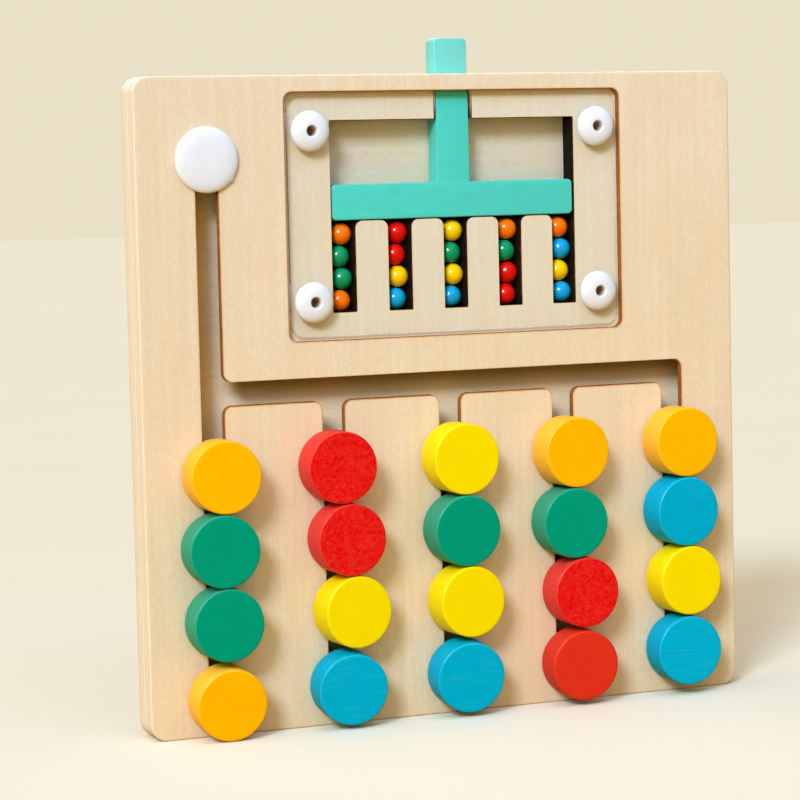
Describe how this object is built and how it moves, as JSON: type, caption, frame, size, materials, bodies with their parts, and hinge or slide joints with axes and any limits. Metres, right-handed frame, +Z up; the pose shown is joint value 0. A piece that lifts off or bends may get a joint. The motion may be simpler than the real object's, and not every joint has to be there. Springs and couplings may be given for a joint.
{
  "type": "ball sorting puzzle",
  "caption": "Upright square plywood puzzle board with painted discs that slide in slots joined by a cross channel, and a clear window over a ball chamber with a lifting gate.",
  "frame": {"origin": "middle of the bounding box in X and Y, on the plane of the board's lower edge", "axes": "+X to the right seen from the front, -Y out of the board's front face towards the player, +Z up along the slots"},
  "size_m": [0.24, 0.0288, 0.2532],
  "materials": {
    "birch_ply": "pale birch plywood, sanded, clear-coated faces, laser-browned cut walls",
    "clear_acrylic": "clear polished acrylic sheet",
    "white_plastic": "white moulded plastic, satin gloss",
    "gate_mint": "mint green paint on wood, satin",
    "disc_amber": "amber satin paint on turned wood",
    "disc_green": "green satin paint on turned wood",
    "disc_red": "red satin paint on turned wood",
    "disc_yellow": "yellow satin paint on turned wood",
    "disc_blue": "blue satin paint on turned wood",
    "ball_amber": "amber glossy bead",
    "ball_green": "green glossy bead",
    "ball_red": "red glossy bead",
    "ball_yellow": "yellow glossy bead",
    "ball_blue": "blue glossy bead"
  },
  "bodies": {
    "board": {"front_panel": "birch_ply", "middle_panel": "birch_ply", "back_panel": "birch_ply", "window_pane": "clear_acrylic", "rivet_top_left": "white_plastic", "rivet_top_right": "white_plastic", "rivet_bottom_left": "white_plastic", "rivet_bottom_right": "white_plastic", "end_plug": "white_plastic"},
    "gate": {"gate": "gate_mint"},
    "slider_c1_r1": {"slider_c1_r1": "disc_amber"},
    "slider_c1_r2": {"slider_c1_r2": "disc_green"},
    "slider_c1_r3": {"slider_c1_r3": "disc_green"},
    "slider_c1_r4": {"slider_c1_r4": "disc_amber"},
    "slider_c2_r1": {"slider_c2_r1": "disc_blue"},
    "slider_c2_r2": {"slider_c2_r2": "disc_yellow"},
    "slider_c2_r3": {"slider_c2_r3": "disc_red"},
    "slider_c2_r4": {"slider_c2_r4": "disc_red"},
    "slider_c3_r1": {"slider_c3_r1": "disc_blue"},
    "slider_c3_r2": {"slider_c3_r2": "disc_yellow"},
    "slider_c3_r3": {"slider_c3_r3": "disc_green"},
    "slider_c3_r4": {"slider_c3_r4": "disc_yellow"},
    "slider_c4_r1": {"slider_c4_r1": "disc_red"},
    "slider_c4_r2": {"slider_c4_r2": "disc_red"},
    "slider_c4_r3": {"slider_c4_r3": "disc_green"},
    "slider_c4_r4": {"slider_c4_r4": "disc_amber"},
    "slider_c5_r1": {"slider_c5_r1": "disc_blue"},
    "slider_c5_r2": {"slider_c5_r2": "disc_yellow"},
    "slider_c5_r3": {"slider_c5_r3": "disc_blue"},
    "slider_c5_r4": {"slider_c5_r4": "disc_amber"},
    "ball_c1_r1": {"ball_c1_r1": "ball_amber"},
    "ball_c1_r2": {"ball_c1_r2": "ball_green"},
    "ball_c1_r3": {"ball_c1_r3": "ball_green"},
    "ball_c1_r4": {"ball_c1_r4": "ball_amber"},
    "ball_c2_r1": {"ball_c2_r1": "ball_blue"},
    "ball_c2_r2": {"ball_c2_r2": "ball_yellow"},
    "ball_c2_r3": {"ball_c2_r3": "ball_red"},
    "ball_c2_r4": {"ball_c2_r4": "ball_red"},
    "ball_c3_r1": {"ball_c3_r1": "ball_blue"},
    "ball_c3_r2": {"ball_c3_r2": "ball_yellow"},
    "ball_c3_r3": {"ball_c3_r3": "ball_green"},
    "ball_c3_r4": {"ball_c3_r4": "ball_yellow"},
    "ball_c4_r1": {"ball_c4_r1": "ball_red"},
    "ball_c4_r2": {"ball_c4_r2": "ball_red"},
    "ball_c4_r3": {"ball_c4_r3": "ball_green"},
    "ball_c4_r4": {"ball_c4_r4": "ball_amber"},
    "ball_c5_r1": {"ball_c5_r1": "ball_blue"},
    "ball_c5_r2": {"ball_c5_r2": "ball_yellow"},
    "ball_c5_r3": {"ball_c5_r3": "ball_blue"},
    "ball_c5_r4": {"ball_c5_r4": "ball_amber"}
  },
  "joints": [
    {"name": "gate_lift", "type": "slide", "parent": "board", "child": "gate", "axis": [0, 0, 1], "range_m": [0, 0.0233]},
    {"name": "slider_c1_r1_slide", "type": "slide", "parent": "board", "child": "slider_c1_r1", "axis": [0, 0, 1], "range_m": [0, 0.009]},
    {"name": "slider_c1_r2_slide", "type": "slide", "parent": "slider_c1_r1", "child": "slider_c1_r2", "axis": [0, 0, 1], "range_m": [-0.0014, 0.009]},
    {"name": "slider_c1_r3_slide", "type": "slide", "parent": "slider_c1_r2", "child": "slider_c1_r3", "axis": [0, 0, 1], "range_m": [0, 0.009]},
    {"name": "slider_c1_r4_slide", "type": "slide", "parent": "slider_c1_r3", "child": "slider_c1_r4", "axis": [0, 0, 1], "range_m": [0, 0.0598]},
    {"name": "slider_c2_r1_slide", "type": "slide", "parent": "board", "child": "slider_c2_r1", "axis": [0, 0, 1], "range_m": [-0.0012, 0.003]},
    {"name": "slider_c2_r2_slide", "type": "slide", "parent": "slider_c2_r1", "child": "slider_c2_r2", "axis": [0, 0, 1], "range_m": [-0.001, 0.003]},
    {"name": "slider_c2_r3_slide", "type": "slide", "parent": "slider_c2_r2", "child": "slider_c2_r3", "axis": [0, 0, 1], "range_m": [0, 0.003]},
    {"name": "slider_c2_r4_slide", "type": "slide", "parent": "slider_c2_r3", "child": "slider_c2_r4", "axis": [0, 0, 1], "range_m": [0, 0.0186]},
    {"name": "slider_c3_r1_slide", "type": "slide", "parent": "board", "child": "slider_c3_r1", "axis": [0, 0, 1], "range_m": [-0.0015, 0.003]},
    {"name": "slider_c3_r2_slide", "type": "slide", "parent": "slider_c3_r1", "child": "slider_c3_r2", "axis": [0, 0, 1], "range_m": [-0.0009, 0.003]},
    {"name": "slider_c3_r3_slide", "type": "slide", "parent": "slider_c3_r2", "child": "slider_c3_r3", "axis": [0, 0, 1], "range_m": [0, 0.003]},
    {"name": "slider_c3_r4_slide", "type": "slide", "parent": "slider_c3_r3", "child": "slider_c3_r4", "axis": [0, 0, 1], "range_m": [0, 0.0186]},
    {"name": "slider_c4_r1_slide", "type": "slide", "parent": "board", "child": "slider_c4_r1", "axis": [0, 0, 1], "range_m": [-0.0013, 0.003]},
    {"name": "slider_c4_r2_slide", "type": "slide", "parent": "slider_c4_r1", "child": "slider_c4_r2", "axis": [0, 0, 1], "range_m": [-0.0009, 0.003]},
    {"name": "slider_c4_r3_slide", "type": "slide", "parent": "slider_c4_r2", "child": "slider_c4_r3", "axis": [0, 0, 1], "range_m": [0, 0.003]},
    {"name": "slider_c4_r4_slide", "type": "slide", "parent": "slider_c4_r3", "child": "slider_c4_r4", "axis": [0, 0, 1], "range_m": [0, 0.0186]},
    {"name": "slider_c5_r1_slide", "type": "slide", "parent": "board", "child": "slider_c5_r1", "axis": [0, 0, 1], "range_m": [-0.003, 0.003]},
    {"name": "slider_c5_r2_slide", "type": "slide", "parent": "slider_c5_r1", "child": "slider_c5_r2", "axis": [0, 0, 1], "range_m": [-0.0004, 0.003]},
    {"name": "slider_c5_r3_slide", "type": "slide", "parent": "slider_c5_r2", "child": "slider_c5_r3", "axis": [0, 0, 1], "range_m": [0, 0.003]},
    {"name": "slider_c5_r4_slide", "type": "slide", "parent": "slider_c5_r3", "child": "slider_c5_r4", "axis": [0, 0, 1], "range_m": [0, 0.0186]},
    {"name": "ball_c1_r1_roll", "type": "hinge", "parent": "board", "child": "ball_c1_r1", "pos_m": [-0.0406, 0.00715, 0.157], "axis": [1, 0, 0], "continuous": true},
    {"name": "ball_c1_r2_roll", "type": "hinge", "parent": "board", "child": "ball_c1_r2", "pos_m": [-0.0396, 0.00715, 0.1652], "axis": [1, 0, 0], "continuous": true},
    {"name": "ball_c1_r3_roll", "type": "hinge", "parent": "board", "child": "ball_c1_r3", "pos_m": [-0.0406, 0.00715, 0.1734], "axis": [1, 0, 0], "continuous": true},
    {"name": "ball_c1_r4_roll", "type": "hinge", "parent": "board", "child": "ball_c1_r4", "pos_m": [-0.0396, 0.00715, 0.1816], "axis": [1, 0, 0], "continuous": true},
    {"name": "ball_c2_r1_roll", "type": "hinge", "parent": "board", "child": "ball_c2_r1", "pos_m": [-0.0182, 0.00715, 0.157], "axis": [1, 0, 0], "continuous": true},
    {"name": "ball_c2_r2_roll", "type": "hinge", "parent": "board", "child": "ball_c2_r2", "pos_m": [-0.0172, 0.00715, 0.1652], "axis": [1, 0, 0], "continuous": true},
    {"name": "ball_c2_r3_roll", "type": "hinge", "parent": "board", "child": "ball_c2_r3", "pos_m": [-0.0182, 0.00715, 0.1734], "axis": [1, 0, 0], "continuous": true},
    {"name": "ball_c2_r4_roll", "type": "hinge", "parent": "board", "child": "ball_c2_r4", "pos_m": [-0.0172, 0.00715, 0.1816], "axis": [1, 0, 0], "continuous": true},
    {"name": "ball_c3_r1_roll", "type": "hinge", "parent": "board", "child": "ball_c3_r1", "pos_m": [0.0042, 0.00715, 0.157], "axis": [1, 0, 0], "continuous": true},
    {"name": "ball_c3_r2_roll", "type": "hinge", "parent": "board", "child": "ball_c3_r2", "pos_m": [0.0052, 0.00715, 0.1652], "axis": [1, 0, 0], "continuous": true},
    {"name": "ball_c3_r3_roll", "type": "hinge", "parent": "board", "child": "ball_c3_r3", "pos_m": [0.0042, 0.00715, 0.1734], "axis": [1, 0, 0], "continuous": true},
    {"name": "ball_c3_r4_roll", "type": "hinge", "parent": "board", "child": "ball_c3_r4", "pos_m": [0.0052, 0.00715, 0.1816], "axis": [1, 0, 0], "continuous": true},
    {"name": "ball_c4_r1_roll", "type": "hinge", "parent": "board", "child": "ball_c4_r1", "pos_m": [0.0266, 0.00715, 0.157], "axis": [1, 0, 0], "continuous": true},
    {"name": "ball_c4_r2_roll", "type": "hinge", "parent": "board", "child": "ball_c4_r2", "pos_m": [0.0276, 0.00715, 0.1652], "axis": [1, 0, 0], "continuous": true},
    {"name": "ball_c4_r3_roll", "type": "hinge", "parent": "board", "child": "ball_c4_r3", "pos_m": [0.0266, 0.00715, 0.1734], "axis": [1, 0, 0], "continuous": true},
    {"name": "ball_c4_r4_roll", "type": "hinge", "parent": "board", "child": "ball_c4_r4", "pos_m": [0.0276, 0.00715, 0.1816], "axis": [1, 0, 0], "continuous": true},
    {"name": "ball_c5_r1_roll", "type": "hinge", "parent": "board", "child": "ball_c5_r1", "pos_m": [0.05, 0.00715, 0.157], "axis": [1, 0, 0], "continuous": true},
    {"name": "ball_c5_r2_roll", "type": "hinge", "parent": "board", "child": "ball_c5_r2", "pos_m": [0.049, 0.00715, 0.1652], "axis": [1, 0, 0], "continuous": true},
    {"name": "ball_c5_r3_roll", "type": "hinge", "parent": "board", "child": "ball_c5_r3", "pos_m": [0.05, 0.00715, 0.1734], "axis": [1, 0, 0], "continuous": true},
    {"name": "ball_c5_r4_roll", "type": "hinge", "parent": "board", "child": "ball_c5_r4", "pos_m": [0.049, 0.00715, 0.1816], "axis": [1, 0, 0], "continuous": true}
  ]
}
